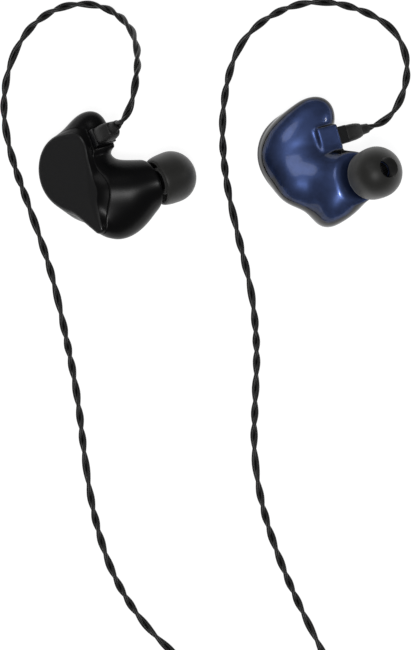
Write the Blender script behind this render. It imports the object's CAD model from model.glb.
import math

import bmesh
import bpy
import numpy as np
from mathutils import Matrix, Vector


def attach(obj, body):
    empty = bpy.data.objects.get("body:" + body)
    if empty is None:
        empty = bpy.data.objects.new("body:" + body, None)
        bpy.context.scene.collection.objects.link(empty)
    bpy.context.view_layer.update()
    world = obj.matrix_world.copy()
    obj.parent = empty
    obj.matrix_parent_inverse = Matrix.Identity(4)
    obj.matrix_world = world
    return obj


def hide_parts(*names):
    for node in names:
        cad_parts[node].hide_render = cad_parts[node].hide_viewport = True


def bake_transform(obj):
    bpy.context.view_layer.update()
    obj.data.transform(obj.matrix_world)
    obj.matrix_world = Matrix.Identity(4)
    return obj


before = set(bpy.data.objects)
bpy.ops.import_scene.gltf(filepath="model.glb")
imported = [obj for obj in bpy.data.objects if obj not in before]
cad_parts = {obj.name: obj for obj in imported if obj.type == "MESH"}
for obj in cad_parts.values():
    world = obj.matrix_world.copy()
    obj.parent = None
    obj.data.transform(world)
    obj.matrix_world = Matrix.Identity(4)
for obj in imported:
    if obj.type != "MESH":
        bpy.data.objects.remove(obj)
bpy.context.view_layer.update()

bl_info = {
    "name": "In-ear monitors",
    "version": (1, 0, 0),
    "blender": (4, 5, 0),
    "location": "View3D > Sidebar > Monitors",
    "description": "A pair of sculpted in-ear monitors with their twisted cable",
    "category": "Object",
}

# Row frame, metres: X to the right of the pair, Y up the page, Z up from the surface.
# Each earpiece also has its own frame in millimetres: u towards the nose, v up, w from the
# faceplate into the ear. The left one lies on its faceplate, the right one is turned over.

MM = 0.001


# --------------------------------------------------------------------------- properties ----


def channels(hex_code):
    """The three sRGB values of a hex text such as #5468a0."""
    return [int(hex_code[k : k + 2], 16) / 255 for k in (1, 3, 5)]


def shade(name, description, hex_code):
    """A colour property, its default given as sRGB hex."""
    return bpy.props.FloatVectorProperty(
        name=name, description=description, subtype="COLOR_GAMMA", default=channels(hex_code),
        min=0, max=1,
    )  # fmt: skip


def length(name, description, default):
    """A length property in metres."""
    return bpy.props.FloatProperty(
        name=name, description=description, default=default, unit="LENGTH", precision=5
    )


def watts(name, description, default):
    """A property for a light's power."""
    return bpy.props.FloatProperty(
        name=name, description=description, default=default, unit="POWER"
    )  # fmt: skip


class LookSettings(bpy.types.PropertyGroup):
    """Colours, as sRGB."""

    pearl: shade("Pearl resin", "Left shell's resin, with blue pearl in it", "#5468a0")
    pearl_rim: shade("Pearl rim", "What the pearl darkens to as it turns away", "#0d131d")
    resin: shade("Black resin", "Right shell's resin", "#0c0c0d")
    plate: shade("Satin black", "Both faceplates", "#1b1b1c")
    silicone: shade("Silicone", "Ear tips", "#262624")
    nylon: shade("Nylon", "Plugs, slider, splitter and jack grip", "#1f1f1f")
    jacket: shade("Cable jacket", "Strands of the leads and the cable", "#0d0d0d")


class ShapeSettings(bpy.types.PropertyGroup):
    """Sizes that the eye sees."""

    cell: length("Cell", "Cell of the grid that the shells are measured on", 0.0003)
    lead_pitch: length("Lead twist", "Length of a full turn of a lead's two strands", 0.0112)
    cable_pitch: length("Cable twist", "Length of a full turn of the cable's strands", 0.014)


class StageSettings(bpy.types.PropertyGroup):
    """Camera and light."""

    view_height: length("View height", "Height of what the camera sees", 0.14625)
    panel: bpy.props.FloatProperty(
        name="Lit panel", description="How brightly the surface is lit from behind", default=0.9
    )
    sky: bpy.props.FloatProperty(
        name="Sky", description="Strength of the dim, even room", default=0.13
    )  # fmt: skip
    lamp: watts("Lamp", "Power of the round lamp above", 7.0)
    soft_light: watts("Soft light", "Power of the large soft light", 1.4)
    side_light: watts("Side light", "Power of the small light to the right", 0.35)


# ------------------------------------------------------------------------------ helpers ----


def colour(value):
    """Linear RGBA from an sRGB hex text or from an sRGB triple."""
    if isinstance(value, str):
        value = channels(value)
    linear = [c / 12.92 if c <= 0.04045 else ((c + 0.055) / 1.055) ** 2.4 for c in value]
    return (*linear, 1.0)


def add(tree, kind, settings=None, **sockets):
    """A node with its settings and inputs; an input that is an output socket is linked."""
    node = tree.nodes.new("ShaderNode" + kind)
    for name, value in (settings or {}).items():
        setattr(node, name, value)
    for name, value in sockets.items():
        socket = node.inputs[name.replace("_", " ")]
        if isinstance(value, bpy.types.NodeSocket):
            tree.links.new(value, socket)
        else:
            socket.default_value = value
    return node


def material(name, **sockets):
    """A principled material; returns it with its tree and shader."""
    made = bpy.data.materials.new(name)
    made.use_nodes = True
    tree = made.node_tree
    shader = tree.nodes["Principled BSDF"]
    for socket, value in sockets.items():
        shader.inputs[socket.replace("_", " ")].default_value = value
    return made, tree, shader


def grain(tree, shader, size, depth, detail=3.0):
    """Bumps about size metres across and depth metres deep."""
    where = add(tree, "TexCoord")
    noise = add(tree, "TexNoise", Vector=where.outputs["Object"], Scale=1 / size, Detail=detail)
    bump = add(tree, "Bump", Height=noise.outputs["Fac"], Distance=depth, Strength=1.0)
    tree.links.new(bump.outputs["Normal"], shader.inputs["Normal"])


def mesh_object(name, points, faces, shader, smooth=True):
    """A mesh from points in metres in the row frame."""
    mesh = bpy.data.meshes.new(name)
    mesh.from_pydata([tuple(p) for p in points], [], [tuple(f) for f in faces])
    mesh.validate()
    mesh.update()
    mesh.polygons.foreach_set("use_smooth", [smooth] * len(mesh.polygons))
    mesh.materials.append(shader)
    made = bpy.data.objects.new(name, mesh)
    bpy.context.scene.collection.objects.link(made)
    return made


def outward(made):
    """Turns every face of a closed mesh outwards."""
    work = bmesh.new()
    work.from_mesh(made.data)
    bmesh.ops.recalc_face_normals(work, faces=work.faces)
    work.to_mesh(made.data)
    work.free()
    return made


def tube_faces(rings, around, closed=False):
    """Quads between rings of points that follow one another."""
    faces = []
    for k in range(rings if closed else rings - 1):
        for j in range(around):
            a, b = k * around + j, k * around + (j + 1) % around
            ahead = (k + 1) % rings * around
            faces.append((a, b, ahead + (j + 1) % around, ahead + j))
    return faces


def stacked(name, rings, shader):
    """A closed piece from rings of equal count, capped flat at both ends."""
    around = len(rings[0])
    points = np.concatenate(rings)
    faces = tube_faces(len(rings), around)
    last = (len(rings) - 1) * around
    faces.append(tuple(range(around))[::-1])
    faces.append(tuple(last + j for j in range(around)))
    return outward(mesh_object(name, points, faces, shader))


def soften(made, angle=35):
    """Smooth shading that keeps edges sharper than an angle."""
    made.data.set_sharp_from_angle(angle=math.radians(angle))
    return made


def dress(node, shader, bevel=0.0):
    """Gives a CAD piece its material and, if asked, rounded edges."""
    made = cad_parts[node]
    made.data.materials.clear()
    made.data.materials.append(shader)
    if bevel:
        rounding = made.modifiers.new("rounding", "BEVEL")
        rounding.width, rounding.segments = bevel, 2
        rounding.limit_method, rounding.angle_limit = "ANGLE", math.radians(40)
        rounding.harden_normals = True


# ---------------------------------------------------------------------------- materials ----

shaders = {}


def shader_for(name):
    """Each material is made once, when it is first asked for."""
    if name not in shaders:
        shaders[name] = MATERIALS[name]()
    return shaders[name]


def look():
    return bpy.context.scene.monitor_look


def pearl_resin():
    """Cast acrylic with blue pearl under a clear hand-polished lacquer: deep blue metal that
    turns nearly black at the rim, broad soft glows, and small sharp lights in the lacquer."""
    made, tree, shader = material(
        "cast acrylic with blue pearl", Metallic=0.9, Roughness=0.38, Coat_Weight=1.0,
        Coat_Roughness=0.1, Coat_IOR=1.36, Specular_Tint=colour("#565c6c"),
    )  # fmt: skip
    facing = add(tree, "LayerWeight", Blend=0.5)
    where = add(tree, "TexCoord")
    # The pearl drifts in clouds; its single flakes are finer than can be seen.
    flake = add(tree, "TexNoise", Vector=where.outputs["Object"], Scale=1 / (2.4 * MM), Detail=4.0)
    drift = add(tree, "MapRange", Value=flake.outputs["Fac"], To_Min=-0.16, To_Max=0.16)
    fade = add(tree, "Math", {"operation": "ADD", "use_clamp": True})
    tree.links.new(facing.outputs["Facing"], fade.inputs[0])
    tree.links.new(drift.outputs["Result"], fade.inputs[1])
    ramp = add(tree, "ValToRGB", Fac=fade.outputs[0])
    ramp.color_ramp.elements[0].color = colour(look().pearl)
    ramp.color_ramp.elements[0].position = 0.02
    ramp.color_ramp.elements[1].color = colour(look().pearl_rim)
    ramp.color_ramp.elements[1].position = 0.48
    tree.links.new(ramp.outputs["Color"], shader.inputs["Base Color"])
    return made


def black_resin():
    """Black cast acrylic buffed by hand: soft-edged neutral lights, faintly wavy."""
    made, tree, shader = material(
        "polished black acrylic", Base_Color=colour(look().resin), Roughness=0.3, IOR=1.4,
        Specular_IOR_Level=0.22,
    )
    grain(tree, shader, 4 * MM, 0.02 * MM, detail=1.0)
    return made


def satin_plate():
    """Black acrylic sheet under a satin lacquer: an even dark grey, brighter at its edge."""
    made, tree, shader = material(
        "lacquered acrylic sheet", Base_Color=colour(look().plate), Roughness=0.4, IOR=1.36,
        Coat_Weight=0.5, Coat_Roughness=0.12, Coat_IOR=1.4,
    )
    grain(tree, shader, 0.25 * MM, 0.0008 * MM)
    return made


def silicone():
    """Moulded silicone with a matt skin: soft wide sheen, slightly dusty."""
    made, tree, shader = material(
        "moulded silicone", Base_Color=colour(look().silicone), Roughness=0.46, IOR=1.41,
        Sheen_Weight=0.25, Sheen_Roughness=0.5,
    )  # fmt: skip
    grain(tree, shader, 0.08 * MM, 0.002 * MM)
    return made


def nylon():
    """Injection-moulded nylon with spark-eroded grain: flat dark grey."""
    made, tree, shader = material("moulded nylon", Base_Color=colour(look().nylon), Roughness=0.5)
    grain(tree, shader, 0.1 * MM, 0.003 * MM)
    return made


def collar_black():
    """Glossier black moulding of the socket's collar."""
    made, tree, shader = material(
        "moulded black collar", Base_Color=colour("#151618"), Roughness=0.3
    )
    grain(tree, shader, 0.2 * MM, 0.001 * MM)
    return made


def jacket():
    """Extruded PVC over fine stranded wire: black with a thin running highlight."""
    made, tree, shader = material("extruded PVC", Base_Color=colour(look().jacket), Roughness=0.42)
    grain(tree, shader, 0.3 * MM, 0.004 * MM)
    return made


def elastomer():
    """Moulded soft elastomer of the strain reliefs: matt black."""
    made, tree, shader = material("moulded elastomer", Base_Color=colour("#131313"), Roughness=0.6)
    grain(tree, shader, 0.15 * MM, 0.004 * MM)
    return made


def gold():
    """Gold flash over turned brass: warm, with fine turning marks."""
    made, tree, shader = material(
        "gold flash over brass", Base_Color=colour("#e3c27a"), Metallic=1.0, Roughness=0.22
    )
    grain(tree, shader, 0.1 * MM, 0.001 * MM)
    return made


def drawn_steel():
    """Deep-drawn nickel steel can: grey and softly brushed."""
    made, tree, shader = material(
        "drawn steel", Base_Color=colour("#c2c2c6"), Metallic=1.0, Roughness=0.32
    )
    grain(tree, shader, 0.2 * MM, 0.001 * MM)
    return made


def woven_mesh():
    """Woven steel wire: small dark openings in a bright grid."""
    made, tree, shader = material("woven steel mesh", Metallic=1.0, Roughness=0.35)
    where = add(tree, "TexCoord")
    weave = add(tree, "TexChecker", Vector=where.outputs["Object"], Scale=1 / (0.15 * MM))
    weave.inputs["Color1"].default_value = colour("#4a4a4c")
    weave.inputs["Color2"].default_value = colour("#0d0d0d")
    tree.links.new(weave.outputs["Color"], shader.inputs["Base Color"])
    return made


def solder_mask():
    """Glass epoxy board under green solder mask."""
    made, tree, shader = material(
        "solder-masked epoxy", Base_Color=colour("#1d5230"), Roughness=0.3
    )
    grain(tree, shader, 0.3 * MM, 0.003 * MM)
    return made


def ceramic():
    """Fired chip ceramic: dull brown."""
    made, tree, shader = material("chip ceramic", Base_Color=colour("#5a4a3a"), Roughness=0.6)
    grain(tree, shader, 0.1 * MM, 0.002 * MM)
    return made


def vinyl():
    """Clear vinyl sound tube."""
    made, tree, shader = material(
        "clear vinyl", Base_Color=colour("#e8e8ea"), Roughness=0.12, Transmission_Weight=0.85
    )
    grain(tree, shader, 1.0 * MM, 0.004 * MM)
    return made


def copper():
    """Enamelled copper wire: reddish and shiny."""
    made, tree, shader = material(
        "enamelled copper", Base_Color=colour("#b5653a"), Metallic=1.0, Roughness=0.28
    )
    grain(tree, shader, 0.1 * MM, 0.001 * MM)
    return made


def tape():
    """Woven hook-and-loop tape: dull, with a thread every third of a millimetre."""
    made, tree, shader = material("woven tape", Base_Color=colour("#141415"), Roughness=0.85)
    where = add(tree, "TexCoord")
    threads = add(tree, "TexWave", {"bands_direction": "Z"}, Vector=where.outputs["Object"],
                  Scale=1 / (2 * math.pi * 0.05 * MM), Distortion=1.5)
    bump = add(tree, "Bump", Height=threads.outputs["Fac"], Distance=0.06 * MM)
    tree.links.new(bump.outputs["Normal"], shader.inputs["Normal"])
    return made


def pale_surface():
    """White acrylic panel lit softly from behind: no tone of its own and only faint shadows."""
    made, tree, shader = material(
        "back-lit white acrylic", Base_Color=colour("#a0a0a0"), Roughness=0.9,
        Specular_IOR_Level=0.1, Emission_Color=colour("#ffffff"),
        Emission_Strength=bpy.context.scene.monitor_stage.panel,
    )  # fmt: skip
    grain(tree, shader, 0.4 * MM, 0.002 * MM)
    return made


MATERIALS = {
    "pearl": pearl_resin, "resin": black_resin, "plate": satin_plate, "silicone": silicone,
    "nylon": nylon, "collar": collar_black, "jacket": jacket, "elastomer": elastomer,
    "gold": gold, "steel": drawn_steel, "mesh": woven_mesh, "mask": solder_mask,
    "ceramic": ceramic, "vinyl": vinyl, "copper": copper, "tape": tape, "panel": pale_surface,
}  # fmt: skip


# --------------------------------------------------------------- the earpieces' own frame ----

# Each mass of the form: its centre, its half axes, its turn about w and its lean, in degrees.
MASSES = (
    ((-1.4, 1.9, 3.4), (7.2, 7.8, 5.6), 0, 0),
    ((1.6, 7.5, 5.0), (8.5, 5.7, 4.2), 54, 0),
    ((0.6, -4.4, 6.1), (5.1, 5.2, 5.2), 0, 0),
    ((6.7, -8.6, 7.0), (4.0, 5.6, 6.4), 0, 18),
    ((10.6, -6.2, 9.2), (4.2, 5.0, 4.4), 0, 0),
)
MASS_BLEND = 4.5
FACE_OVAL = ((-1.4, 2.7), (6.8, 7.8))
FACE_CORNER = ((2.5, 7.5), 2.7)
FACE_TAIL = ((0.4, -2.5), 3.6, (5.7, -11.2), 1.15)
FACE_DEEP = 3.0
FACE_BLEND = 2.0
PLATE, WALL = 1.3, 1.0
# How widely the shoulder, the nozzle's root, the socket boss and the plate's seam are rounded.
SHOULDER_ROUND, NOZZLE_ROUND, BOSS_ROUND, SEAM_ROUND = 0.8, 0.5, 1.2, 0.25

NOZZLE_AXIS = np.array([0.51, 0.20, 0.837]) / math.sqrt(0.51**2 + 0.20**2 + 0.837**2)
NOZZLE_ACROSS = np.cross([0.0, 1.0, 0.0], NOZZLE_AXIS)
NOZZLE_ACROSS /= np.linalg.norm(NOZZLE_ACROSS)
NOZZLE_UP = np.cross(NOZZLE_AXIS, NOZZLE_ACROSS)
TIP_CENTRE = np.array([17.55, -2.1, 14.5])
SHOULDER_BACK = 4.5
NOZZLE_END = 1.6
NOZZLE_RADIUS, NOZZLE_BORE = 2.4, 1.7
CANAL = ((6.6, -2.0, 6.4), 5.3, 4.9)
CANAL_OVERRUN = 2.0

RISE, OUT = math.radians(16), math.radians(20)
SOCKET_AXIS = np.array(
    [math.cos(RISE) * math.cos(OUT), math.sin(RISE) * math.cos(OUT), -math.sin(OUT)]
)
SOCKET_ACROSS = np.cross(SOCKET_AXIS, [-math.sin(RISE), math.cos(RISE), 0.0])
SOCKET_SIDE = np.cross(SOCKET_AXIS, SOCKET_ACROSS)
SOCKET_FACES = {"left": np.array([10.3, 6.6, 4.61]), "right": np.array([8.8, 9.3, 3.4])}
SOCKET_HALF = np.array([2.5, 2.0])
SOCKET_LONG, COLLAR_LONG, BOSS_WALL = 6.2, 2.0, 0.8
PLUG_LONG, BOOT_LONG = 4.2, 2.0
PLUG_RECESS = 1.8

SEATS = {
    "left": Matrix.Translation((17.3, 0.83, 0.0)),
    "right": Matrix.Translation((-33.55, -3.37, 10.08))
    @ Matrix.Rotation(math.radians(8.5), 4, "Z")
    @ Matrix.Rotation(math.radians(-35), 4, "Y")
    @ Matrix.Scale(-1, 4, (0, 0, 1)),
}


def seated(side, points):
    """Points of an earpiece's frame, in millimetres, as row-frame points in metres."""
    seat = np.array(SEATS[side])
    points = np.asarray(points, float)
    return (points @ seat[:3, :3].T + seat[:3, 3]) * MM


def turned_towards(side, direction):
    """A direction of an earpiece's frame in the row frame."""
    return np.array(SEATS[side])[:3, :3] @ direction


def soft_min(a, b, blend):
    """The lower of two fields, with the crease between them rounded."""
    share = np.clip(0.5 + 0.5 * (b - a) / blend, 0, 1)
    return b + (a - b) * share - blend * share * (1 - share)


def soft_max(a, b, blend):
    return -soft_min(-a, -b, blend)


def egg(p, centre, half, turn, lean):
    """Nearly the distance to an ellipsoid, negative inside."""
    q = p - np.array(centre)
    c, s = math.cos(math.radians(turn)), math.sin(math.radians(turn))
    x, y, z = q[..., 0] * c + q[..., 1] * s, q[..., 1] * c - q[..., 0] * s, q[..., 2]
    c, s = math.cos(math.radians(lean)), math.sin(math.radians(lean))
    q = np.stack([x * c - z * s, y, x * s + z * c], -1)
    half = np.array(half, float)
    a = np.linalg.norm(q / half, axis=-1)
    b = np.linalg.norm(q / half**2, axis=-1)
    return a * (a - 1) / np.maximum(b, 1e-6)


def taper(p, start, start_radius, end, end_radius):
    """Distance to a rounded cone, negative inside."""
    start, along = np.array(start, float), np.array(end, float) - np.array(start, float)
    reach = np.clip((p - start) @ along / (along @ along), 0, 1)
    away = np.linalg.norm(p - start - reach[..., None] * along, axis=-1)
    return away - (start_radius + (end_radius - start_radius) * reach)


def face_outline(p):
    """Nearly the distance to the faceplate's outline, seen along w."""
    flat = p[..., :2]
    oval = (flat - np.array(FACE_OVAL[0])) / np.array(FACE_OVAL[1])
    a = np.linalg.norm(oval, axis=-1)
    b = np.linalg.norm(oval / np.array(FACE_OVAL[1]), axis=-1)
    oval = a * (a - 1) / np.maximum(b, 1e-6)
    corner = np.linalg.norm(flat - np.array(FACE_CORNER[0]), axis=-1) - FACE_CORNER[1]
    tail = taper(flat, *FACE_TAIL)
    return soft_min(soft_min(oval, corner, FACE_BLEND), tail, FACE_BLEND)


def form(p):
    """Nearly the distance to the sculpted form, the same one as the CAD shells follow."""
    out = None
    for mass in MASSES:
        here = egg(p, *mass)
        out = here if out is None else soft_min(out, here, MASS_BLEND)
    canal_end = TIP_CENTRE + NOZZLE_AXIS * (CANAL_OVERRUN - SHOULDER_BACK)
    out = soft_min(out, taper(p, CANAL[0], CANAL[1], canal_end, CANAL[2]), MASS_BLEND)
    face = np.maximum(face_outline(p), p[..., 2] - FACE_DEEP)
    return soft_min(out, face, FACE_BLEND)


def rounded_box(p, origin, half, low, high, corner):
    """Distance to a box along a socket's axis, from low to high, with rounded edges."""
    q = p - origin
    x, y, z = q @ SOCKET_ACROSS, q @ SOCKET_SIDE, q @ SOCKET_AXIS
    d = np.stack([
        np.abs(x) - half[0] + corner, np.abs(y) - half[1] + corner,
        np.abs(z - (low + high) / 2) - (high - low) / 2 + corner,
    ], -1)  # fmt: skip
    outside = np.linalg.norm(np.maximum(d, 0), axis=-1)
    return outside + np.minimum(d.max(-1), 0) - corner


def shell_form(p, side):
    """The hollow shell: form, socket boss and nozzle less the cavity, bore and pocket."""
    along = (p - TIP_CENTRE) @ NOZZLE_AXIS
    off_axis = np.linalg.norm(p - TIP_CENTRE - along[..., None] * NOZZLE_AXIS, axis=-1)
    sculpted = form(p)
    outer = soft_max(sculpted, along + SHOULDER_BACK, SHOULDER_ROUND)
    nozzle = np.maximum(off_axis - NOZZLE_RADIUS, np.abs(along + 2.0) - NOZZLE_END - 2.0)
    outer = soft_min(outer, nozzle, NOZZLE_ROUND)
    face = SOCKET_FACES[side]
    boss_back = -SOCKET_LONG - BOSS_WALL
    boss = rounded_box(p, face, SOCKET_HALF + BOSS_WALL, boss_back, -COLLAR_LONG, 0.55)
    outer = soft_min(outer, boss, BOSS_ROUND)
    outer = soft_max(outer, PLATE + 0.02 - p[..., 2], SEAM_ROUND)
    cavity = np.maximum(sculpted + WALL, along + SHOULDER_BACK + WALL)
    cavity = np.maximum(cavity, -boss)
    bore = np.maximum(off_axis - NOZZLE_BORE, -along - SHOULDER_BACK - 2 * WALL)
    pocket = rounded_box(p, face, SOCKET_HALF, -SOCKET_LONG, PLUG_RECESS, 0.1)
    hollow = np.minimum(np.minimum(cavity, bore), pocket)
    return np.maximum(outer, -hollow)


def surface_net(field, low, high, cell):
    """A quad mesh of where a field is zero: one point in each cell that the surface crosses."""
    low, high = np.array(low, float), np.array(high, float)
    count = np.ceil((high - low) / cell).astype(int) + 1
    axes = [low[k] + cell * np.arange(count[k]) for k in range(3)]
    grid = np.stack(np.meshgrid(*axes, indexing="ij"), -1)
    value = field(grid)
    inside = value < 0
    cells = tuple(count - 1)
    total = np.zeros((*cells, 3))
    crossings = np.zeros(cells)
    corners = [(i, j, k) for i in (0, 1) for j in (0, 1) for k in (0, 1)]
    edges = [
        (a, b) for a in corners for b in corners if a < b and sum(np.abs(np.subtract(a, b))) == 1
    ]
    for a, b in edges:
        va, vb = (value[tuple(slice(o, o + n) for o, n in zip(c, cells))] for c in (a, b))
        cross = (va < 0) != (vb < 0)
        part = np.where(cross, va / np.where(cross, va - vb, 1), 0)
        place = np.array(a) + part[..., None] * (np.array(b) - np.array(a))
        total += place * cross[..., None]
        crossings += cross
    used = crossings > 0
    index = -np.ones(cells, int)
    index[used] = np.arange(used.sum())
    where = np.argwhere(used)
    points = low + cell * (where + total[used] / crossings[used][:, None])
    step = 0.02
    # The points are drawn onto the surface, which rounds off the grid's steps.
    for _ in range(3):
        slope = np.stack([
            (field(points + step * e) - field(points - step * e)) / (2 * step) for e in np.eye(3)
        ], -1)  # fmt: skip
        size = np.maximum((slope**2).sum(-1), 0.2)
        move = -(field(points) / size)[:, None] * slope
        points = points + np.clip(move, -0.4 * cell, 0.4 * cell)
    faces = []
    for axis in range(3):
        u, v = [k for k in range(3) if k != axis]
        here = [slice(1, -1)] * 3
        here[axis] = slice(0, -1)
        ahead = list(here)
        ahead[axis] = slice(1, None)
        change = inside[tuple(here)] != inside[tuple(ahead)]
        base = np.argwhere(change)
        base[:, u] += 1
        base[:, v] += 1
        quad = []
        for du, dv in ((0, 0), (1, 0), (1, 1), (0, 1)):
            shift = np.zeros(3, int)
            shift[u], shift[v] = -du, -dv
            quad.append(index[tuple((base + shift).T)])
        faces.append(np.stack(quad, -1))
    return points, np.concatenate(faces)


# -------------------------------------------------------------------------------- cords ----

# Heights of a cord's middle: a lead on the surface, cords in a bead, the cable on the surface.
FLAT, HELD, CABLE_FLAT = 0.95, 1.9, 1.25
MIDDLE, SPLIT, HALF_SPACING = 24.0, -187.0, 1.3
SPLITTER_LONG, SPLITTER_BOOT = 11.0, 4.0
SLIDER_LONG, SLIDER_GAP = 6.5, 1.5

# The points of each lead after its first run. The slider runs on the straight at the end.
LEADS = {
    "right": [
        (-18.6, 18.3, 22.2), (-18.1, 25.4, 16.0), (-20.0, 32.0, 8.0), (-26.4, 36.8, 2.4),
        (-35.0, 37.0, FLAT), (-42.6, 32.4, FLAT), (-47.4, 24.0, FLAT), (-49.0, 13.6, FLAT),
        (-47.2, 3.2, FLAT), (-43.0, -8.4, FLAT), (-38.1, -22.4, FLAT), (-35.2, -35.0, FLAT),
        (-32.1, -50.4, FLAT), (-30.5, -64.6, FLAT), (-28.4, -78.4, FLAT), (-24.1, -92.0, FLAT),
        (-16.2, -104.0, FLAT), (-5.5, -113.0, FLAT), (4.8, -121.8, FLAT), (14.4, -131.4, FLAT),
        (20.8, -142.6, FLAT), (MIDDLE - HALF_SPACING, -157.0, HELD),
        (MIDDLE - HALF_SPACING, SPLIT, HELD),
    ],
    "left": [
        (41.2, 16.0, FLAT), (42.5, 23.8, FLAT), (39.6, 31.2, FLAT), (32.4, 35.6, FLAT),
        (22.6, 38.0, FLAT), (13.0, 35.7, FLAT), (5.0, 29.4, FLAT), (1.4, 20.0, FLAT),
        (0.3, 8.6, FLAT), (1.3, -3.0, FLAT), (4.0, -15.0, FLAT), (7.2, -27.6, FLAT),
        (8.4, -40.0, FLAT), (7.9, -52.0, FLAT), (7.5, -63.4, FLAT), (9.2, -75.4, FLAT),
        (13.3, -88.0, FLAT), (18.6, -100.0, FLAT), (24.6, -111.6, FLAT), (28.2, -122.6, FLAT),
        (28.5, -133.4, FLAT), (27.0, -143.8, FLAT), (MIDDLE + HALF_SPACING, -157.0, HELD),
        (MIDDLE + HALF_SPACING, SPLIT, HELD),
    ],
}  # fmt: skip
FIRST_RUN = {"left": 4.5, "right": 5.0}

COIL = np.array([-15.0, -205.0, 4.07])
COIL_RADIUS = 14.0
CABLE_START = np.array([MIDDLE, SPLIT - SPLITTER_LONG - SPLITTER_BOOT, HELD])
CABLE_IN = [
    CABLE_START, CABLE_START - (0, 7, 0), (22.4, -218.6, 1.4), (15.0, -225.0, CABLE_FLAT),
    (4.8, -225.8, CABLE_FLAT), (-4.6, -222.8, 1.8),
]  # fmt: skip
JACK_TOP = np.array([-45.0, -206.0, 2.95])
CABLE_OUT = [
    (-29.6, -198.0, 4.6), (-29.0, -190.7, 3.3), (-33.7, -186.0, 2.3), (-40.3, -186.0, 1.8),
    (-45.2, -190.9, 2.2), JACK_TOP + (0, 7.4, 0), JACK_TOP,
]  # fmt: skip
# Where each turn lies in the bundle: across from its middle, and up.
TURNS = [(3.0, -2.0), (0.0, -2.0), (-3.0, -2.0), (-1.5, 0.0), (1.5, 0.0), (-3.0, 2.0), (0.0, 2.0),
         (3.0, 2.0)]  # fmt: skip
STEPS = 16


def coil_points():
    """The turns, wound clockwise from the bottom of the ring to its left side."""
    points = []
    # The curve runs inside its points, so they lie a little further out than the turns.
    stretch = 2 / (1 + math.cos(2 * math.pi / STEPS))
    last = len(TURNS) * STEPS + STEPS // 4
    for k in range(1, last):
        turn, step = divmod(k, STEPS)
        here = np.array(TURNS[min(turn, len(TURNS) - 1)])
        before = np.array(TURNS[turn - 1] if 0 < turn < len(TURNS) else here)
        share = min(1.0, step / 3)
        across, up = before + (here - before) * share
        angle = -math.pi / 2 - 2 * math.pi * k / STEPS
        radius = (COIL_RADIUS + across) * stretch
        points.append(COIL + (radius * math.cos(angle), radius * math.sin(angle), up))
    return points


def centre_line(name, points, spacing):
    """The line of a quadratic NURBS through a cord's points, evenly spaced, in metres."""
    curve = bpy.data.curves.new(name, "CURVE")
    curve.dimensions = "3D"
    spline = curve.splines.new("NURBS")
    spline.points.add(len(points) - 1)
    for knot, point in zip(spline.points, points):
        knot.co = (*(float(c) * MM for c in point), 1.0)
    spline.order_u = 3
    spline.use_endpoint_u = True
    curve.resolution_u = 16
    holder = bpy.data.objects.new(name, curve)
    bpy.context.scene.collection.objects.link(holder)
    mesh = bpy.data.meshes.new_from_object(holder)
    line = np.array([v.co for v in mesh.vertices])
    bpy.data.meshes.remove(mesh)
    bpy.data.objects.remove(holder)
    bpy.data.curves.remove(curve)
    run = np.concatenate([[0], np.cumsum(np.linalg.norm(np.diff(line, axis=0), axis=1))])
    at = np.linspace(0, run[-1], int(run[-1] / spacing) + 1)
    return np.stack([np.interp(at, run, line[:, k]) for k in range(3)], -1), at


def carried_frames(line):
    """Two directions across a line at each of its points, that never spin about it."""
    along = np.gradient(line, axis=0)
    along /= np.linalg.norm(along, axis=1, keepdims=True)
    side = np.cross(along[0], (0.0, 0.3, 1.0))
    sides = []
    for t in along:
        side = side - (side @ t) * t
        side /= np.linalg.norm(side)
        sides.append(side)
    sides = np.array(sides)
    return sides, np.cross(along, sides)


def twisted(name, line, at, strands, strand_radius, lay_radius, pitch, sides, start_turn):
    """Strands twisted about a line; the twist tightens and slackens a little on its way."""
    x, y = carried_frames(line)
    points, faces = [], []
    for k in range(strands):
        turn = start_turn + 2 * math.pi * (k / strands + at / pitch)
        turn = turn + 0.45 * np.sin(at / (7.3 * MM)) + 0.3 * np.sin(at / (3.1 * MM) + 1.0)
        strand = line + lay_radius * (np.cos(turn)[:, None] * x + np.sin(turn)[:, None] * y)
        a, b = carried_frames(strand)
        first = sum(len(p) for p in points)
        for j in range(sides):
            angle = 2 * math.pi * j / sides
            rim = strand + strand_radius * (math.cos(angle) * a + math.sin(angle) * b)
            points.append(rim)
        rings = len(strand)
        for j in range(sides):
            one, two = first + j * rings, first + (j + 1) % sides * rings
            faces += [(one + i, two + i, two + i + 1, one + i + 1) for i in range(rings - 1)]
        faces.append(tuple(first + j * rings for j in range(sides)))
        faces.append(tuple(first + j * rings + rings - 1 for j in range(sides))[::-1])
    return outward(mesh_object(name, np.concatenate(points), faces, shader_for("jacket")))


def lead_start(side):
    """Where a lead leaves its strain relief, and which way, in the row frame in millimetres."""
    local = SOCKET_FACES[side] + SOCKET_AXIS * (PLUG_LONG + BOOT_LONG)
    return seated(side, local) / MM, turned_towards(side, SOCKET_AXIS)


ROOT = "monitors_and_cable"


def make_lead(side):
    start, heading = lead_start(side)
    points = [start, start + heading * FIRST_RUN[side], *LEADS[side]]
    line, at = centre_line(f"{side}_route", points, 0.4 * MM)
    pitch = bpy.context.scene.monitor_shape.lead_pitch
    made = twisted(f"{side}_lead_strands", line, at, 2, 0.46 * MM, 0.42 * MM, pitch, 10, 0.6)
    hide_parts(f"{side}_lead")
    # The blend leans a little, so that the raised stretch inside the slider never moves.
    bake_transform(made)


def make_cable():
    points = [*CABLE_IN, *coil_points(), *CABLE_OUT]
    line, at = centre_line("cable_route", points, 0.8 * MM)
    pitch = bpy.context.scene.monitor_shape.cable_pitch
    made = twisted("cable_strands", line, at, 4, 0.5 * MM, 0.68 * MM, pitch, 8, 0.0)
    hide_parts("main_cable", "cable_coil", "cable_tail")
    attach(made, ROOT)


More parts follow.
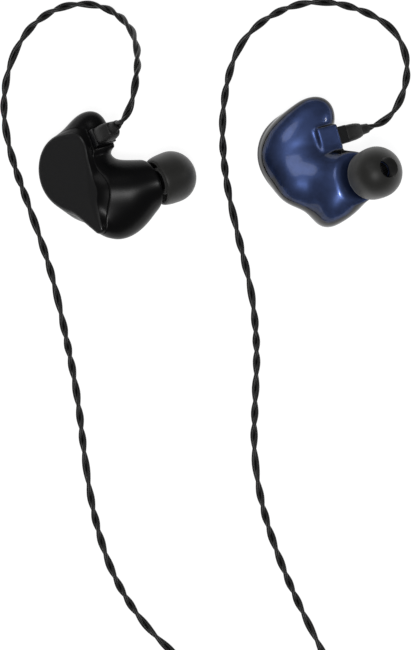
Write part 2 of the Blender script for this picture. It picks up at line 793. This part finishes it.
# ------------------------------------------------------------------------------- pieces ----


def section(origin, x, y, half, power=4.0, count=40):
    """A ring of a rounded rectangle."""
    turns = 2 * math.pi * np.arange(count) / count
    c, s = np.cos(turns), np.sin(turns)
    r = (np.abs(c) ** power + np.abs(s) ** power) ** (-1 / power)
    return origin + np.outer(r * c * half[0], x) + np.outer(r * s * half[1], y)


def along_socket(side, name, profile, shader, power=5.0):
    """A piece from (distance, half across, half high) sections along a socket's axis."""
    rings = []
    for z, wide, high in profile:
        here = SOCKET_FACES[side] + SOCKET_AXIS * z
        ring = section(here, SOCKET_ACROSS, SOCKET_SIDE, (wide, high), power)
        rings.append(seated(side, ring))
    return soften(stacked(name, rings, shader_for(shader)))


def make_plug(side):
    housing = along_socket(side, f"{side}_plug_housing", [
        (0.05, 2.25, 1.75), (0.12, 2.4, 1.9), (0.3, 2.46, 1.96), (1.3, 2.42, 1.95),
        (2.4, 2.25, 1.88), (3.2, 1.95, 1.75), (3.9, 1.6, 1.55), (4.1, 1.5, 1.46),
        (PLUG_LONG, 1.38, 1.36),
    ], "nylon")  # fmt: skip
    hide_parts(f"{side}_plug")
    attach(housing, f"{side}_plug_body")
    relief = along_socket(side, f"{side}_plug_relief", [
        (PLUG_LONG, 1.38, 1.38), (4.5, 1.25, 1.25), (5.2, 1.15, 1.15), (6.1, 1.06, 1.06),
        (PLUG_LONG + BOOT_LONG, 0.98, 0.98),
    ], "elastomer", power=2.0)  # fmt: skip
    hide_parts(f"{side}_plug_boot")
    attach(relief, f"{side}_plug_body")
    dress(f"{side}_plug_pins", shader_for("gold"))


SHELL_KIND = {"left": "pearl", "right": "resin"}


def make_shell(side):
    def field(p):
        return shell_form(p, side)

    cell = bpy.context.scene.monitor_shape.cell / MM
    points, faces = surface_net(field, (-10, -14.6, 0.9), (21.5, 15.6, 18.3), cell)
    shell = mesh_object(
        f"{side}_cast_shell", seated(side, points), faces, shader_for(SHELL_KIND[side])
    )
    outward(shell)
    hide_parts(f"{side}_shell")
    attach(shell, ROOT)


def make_faceplate(side):
    """The form's first layer, rounded over at its outer edge."""
    turns = 2 * math.pi * np.arange(360) / 360
    # More of the rays go to the narrow tail.
    turns = turns + 0.6 * np.sin(turns + math.radians(64))
    rays = np.stack([np.cos(turns), np.sin(turns), 0 * turns], -1)
    rings = []
    edge = [(PLATE - 0.01, 0.0), (0.9, 0.0), (0.5, 0.0), (0.3, 0.05), (0.15, 0.14), (0.05, 0.3),
            (0.0, 0.5), (0.0, 0.7)]  # fmt: skip
    for w, inset in edge:
        centre = np.array([0.6, -0.4, w])
        near, far = np.zeros(len(turns)), np.full(len(turns), 20.0)
        for _ in range(30):
            middle = (near + far) / 2
            inside = form(centre + rays * middle[:, None]) < -inset
            near, far = np.where(inside, middle, near), np.where(inside, far, middle)
        rings.append(seated(side, centre + rays * near[:, None]))
    plate = stacked(f"{side}_plate", rings, shader_for("plate"))
    # The lacquer ends at the rounded edge; the sides are polished together with the shell.
    plate.data.materials.append(shader_for(SHELL_KIND[side]))
    for face in plate.data.polygons:
        lowest = min(face.vertices) // len(turns)
        face.material_index = 1 if lowest < 3 and len(face.vertices) == 4 else 0
    soften(plate, 50)
    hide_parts(f"{side}_faceplate")
    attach(plate, ROOT)


def tip_profile():
    """The tip's half section, as (radius, distance along the nozzle), round its whole wall."""
    wide, front, skirt, skirt_radius, wall = 5.8, 5.4, 3.9, 5.2, 0.7
    core, bore, core_back, mouth = 3.16, 2.46, 3.2, 2.3
    outside = [(skirt_radius, -skirt)]
    outside += [(skirt_radius + (wide - skirt_radius) * math.sin(a), -skirt * math.cos(a))
                for a in np.linspace(0.25, math.pi / 2, 8)]  # fmt: skip
    stop = math.asin(mouth / wide) + 0.05
    outside += [(wide * math.cos(a), front * math.sin(a))
                for a in np.linspace(0.12, math.pi / 2 - stop, 20)]  # fmt: skip
    lip = [(mouth + 0.05, 4.93), (mouth, 4.8), (mouth, 1.7), (bore, 1.7), (bore, -core_back),
           (core, -core_back)]  # fmt: skip
    top = front - wall
    inner_wide = wide - wall
    turn = math.acos(core / inner_wide)
    inside = [(core, top * math.sin(turn))]
    inside += [(inner_wide * math.cos(a), top * math.sin(a))
               for a in np.linspace(turn - 0.1, 0.0, 8)]  # fmt: skip
    inside += [(skirt_radius - wall + 0.3, -skirt + 0.6), (skirt_radius - wall + 0.25, -skirt)]
    return outside + lip + inside


def make_tip(side):
    profile = np.array(tip_profile())
    turns = 2 * math.pi * np.arange(72) / 72
    rings = []
    for radius, z in profile:
        spokes = np.outer(np.cos(turns), NOZZLE_ACROSS) + np.outer(np.sin(turns), NOZZLE_UP)
        rings.append(seated(side, TIP_CENTRE + NOZZLE_AXIS * z + radius * spokes))
    faces = tube_faces(len(rings), len(turns), closed=True)
    tip = mesh_object(f"{side}_silicone_tip", np.concatenate(rings), faces, shader_for("silicone"))
    soften(outward(tip), 40)
    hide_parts(f"{side}_ear_tip")
    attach(tip, f"{side}_tip_body")


def bead(name, top, length, shader):
    """A flat bead with round sides and eased ends, along -Y."""
    half_wide, half_high = 3.4, 1.9
    across, up = np.array([1.0, 0, 0]), np.array([0, 0, 1.0])
    rings = []
    for y, ease in ((0, 0.35), (0.12, 0.12), (0.4, 0.0), (length - 0.4, 0.0),
                    (length - 0.12, 0.12), (length, 0.35)):  # fmt: skip
        origin = np.array([MIDDLE, top - y, HELD])
        half = (half_wide - ease, half_high - ease)
        rings.append(section(origin, across, up, half, 3.2) * MM)
    return soften(stacked(name, rings, shader_for(shader)), 30)


def make_beads():
    splitter = bead("splitter_bead", SPLIT, SPLITTER_LONG, "nylon")
    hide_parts("splitter")
    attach(splitter, ROOT)
    slider = bead("slider_bead", SPLIT + SLIDER_GAP + SLIDER_LONG, SLIDER_LONG, "nylon")
    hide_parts("chin_slider")
    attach(slider, "slider_body")
    dress("splitter_boot", shader_for("elastomer"))


PLAIN_PIECES = {
    "socket": "collar", "socket_contacts": "gold", "woofer": "steel", "tweeter": "steel",
    "crossover_board": "mask", "board_chips": "ceramic", "bass_tube": "vinyl",
    "treble_tube": "vinyl", "signal_wires": "copper", "driver_wires": "copper",
    "nozzle_screen": "mesh",
}  # fmt: skip


# ---------------------------------------------------------------------------- operators ----


class MONITORS_OT_stage(bpy.types.Operator):
    """Camera, floor and light"""

    bl_idname = "monitors.stage"
    bl_label = "Stage"

    def execute(self, context):
        settings = context.scene.monitor_stage
        reach = 1.2
        sensor = 36.0
        camera = bpy.data.objects.new("camera", bpy.data.cameras.new("camera"))
        camera.data.sensor_width = sensor
        camera.data.lens = sensor * reach / settings.view_height
        camera.data.clip_start = 0.1
        camera.location = (-3.26 * MM, -35.2 * MM, reach)
        context.scene.collection.objects.link(camera)
        floor = mesh_object(
            "floor", [(-3, -3, 0), (3, -3, 0), (3, 3, 0), (-3, 3, 0)], [(0, 1, 2, 3)],
            shader_for("panel"), smooth=False,
        )  # fmt: skip
        # Name, place, width and power of each round light; all of them face the origin.
        lights = (
            ("lamp", (-0.04, -0.32, 1.45), 0.36, settings.lamp),
            ("soft_box", (-0.50, 0.55, 0.95), 0.60, settings.soft_light),
            ("side_light", (0.75, 0.12, 0.40), 0.09, settings.side_light),
        )
        for name, place, width, energy in lights:
            data = bpy.data.lights.new(name, "AREA")
            data.shape = "DISK"
            data.size = width
            data.energy = energy
            light = bpy.data.objects.new(name, data)
            light.location = place
            light.rotation_euler = (-Vector(place)).to_track_quat("-Z", "Y").to_euler()
            context.scene.collection.objects.link(light)
        context.scene.camera = camera
        world = bpy.data.worlds.new("even white sky")
        world.use_nodes = True
        sky = world.node_tree.nodes["Background"]
        sky.inputs["Color"].default_value = colour("#ffffff")
        sky.inputs["Strength"].default_value = settings.sky
        context.scene.world = world
        context.scene.view_settings.view_transform = "Standard"
        return {"FINISHED"}


class MONITORS_OT_leads(bpy.types.Operator):
    """Both twisted leads, from the plugs to the splitter"""

    bl_idname = "monitors.leads"
    bl_label = "Leads"

    def execute(self, context):
        for side in ("left", "right"):
            make_lead(side)
        return {"FINISHED"}


class MONITORS_OT_cable(bpy.types.Operator):
    """The cable below the splitter, wound in a coil, up to its jack"""

    bl_idname = "monitors.cable"
    bl_label = "Cable"

    def execute(self, context):
        make_cable()
        dress("coil_tie", shader_for("tape"), bevel=0.15 * MM)
        return {"FINISHED"}


class MONITORS_OT_beads(bpy.types.Operator):
    """Chin slider, splitter and its strain relief"""

    bl_idname = "monitors.beads"
    bl_label = "Slider and splitter"

    def execute(self, context):
        make_beads()
        return {"FINISHED"}


class MONITORS_OT_jack(bpy.types.Operator):
    """The 3.5 mm jack"""

    bl_idname = "monitors.jack"
    bl_label = "Jack"

    def execute(self, context):
        for node in ("jack_sleeve", "jack_ring", "jack_tip"):
            dress(node, shader_for("gold"))
        dress("jack_grip", shader_for("nylon"), bevel=0.2 * MM)
        dress("jack_boot", shader_for("elastomer"))
        dress("jack_insulators", shader_for("collar"))
        return {"FINISHED"}


class MONITORS_OT_plugs(bpy.types.Operator):
    """Two-pin plugs with their strain reliefs"""

    bl_idname = "monitors.plugs"
    bl_label = "Plugs"

    def execute(self, context):
        for side in ("left", "right"):
            make_plug(side)
        return {"FINISHED"}


class MONITORS_OT_shells(bpy.types.Operator):
    """Cast shells and their faceplates"""

    bl_idname = "monitors.shells"
    bl_label = "Shells and faceplates"

    def execute(self, context):
        for side in ("left", "right"):
            make_shell(side)
            make_faceplate(side)
        return {"FINISHED"}


class MONITORS_OT_tips(bpy.types.Operator):
    """Silicone ear tips"""

    bl_idname = "monitors.tips"
    bl_label = "Ear tips"

    def execute(self, context):
        for side in ("left", "right"):
            make_tip(side)
        return {"FINISHED"}


class MONITORS_OT_works(bpy.types.Operator):
    """Sockets, drivers, crossover, tubes, wires and screens"""

    bl_idname = "monitors.works"
    bl_label = "Sockets and inner works"

    def execute(self, context):
        for side in ("left", "right"):
            for node, kind in PLAIN_PIECES.items():
                bevel = 0.25 * MM if node == "socket" else 0.0
                dress(f"{side}_{node}", shader_for(kind), bevel)
        return {"FINISHED"}


STEPS_IN_ORDER = (
    MONITORS_OT_stage, MONITORS_OT_plugs, MONITORS_OT_beads, MONITORS_OT_leads, MONITORS_OT_cable,
    MONITORS_OT_jack, MONITORS_OT_shells, MONITORS_OT_tips, MONITORS_OT_works,
)  # fmt: skip


class MONITORS_PT_panel(bpy.types.Panel):
    """Lists the settings and the steps"""

    bl_idname = "MONITORS_PT_panel"
    bl_label = "In-ear monitors"
    bl_space_type = "VIEW_3D"
    bl_region_type = "UI"
    bl_category = "Monitors"

    def draw(self, context):
        for settings in ("monitor_look", "monitor_shape", "monitor_stage"):
            group = getattr(context.scene, settings)
            for name in group.__annotations__:
                self.layout.prop(group, name)
        for step in STEPS_IN_ORDER:
            self.layout.operator(step.bl_idname)


GROUPS = {
    "monitor_look": LookSettings, "monitor_shape": ShapeSettings, "monitor_stage": StageSettings,
}  # fmt: skip


def register():
    for name, group in GROUPS.items():
        bpy.utils.register_class(group)
        setattr(bpy.types.Scene, name, bpy.props.PointerProperty(type=group))
    for step in STEPS_IN_ORDER:
        bpy.utils.register_class(step)
    bpy.utils.register_class(MONITORS_PT_panel)


def unregister():
    bpy.utils.unregister_class(MONITORS_PT_panel)
    for step in reversed(STEPS_IN_ORDER):
        bpy.utils.unregister_class(step)
    for name, group in GROUPS.items():
        delattr(bpy.types.Scene, name)
        bpy.utils.unregister_class(group)


def main():
    register()
    for step in STEPS_IN_ORDER:
        group, name = step.bl_idname.split(".")
        getattr(getattr(bpy.ops, group), name)()


if __name__ == "__main__":
    main()
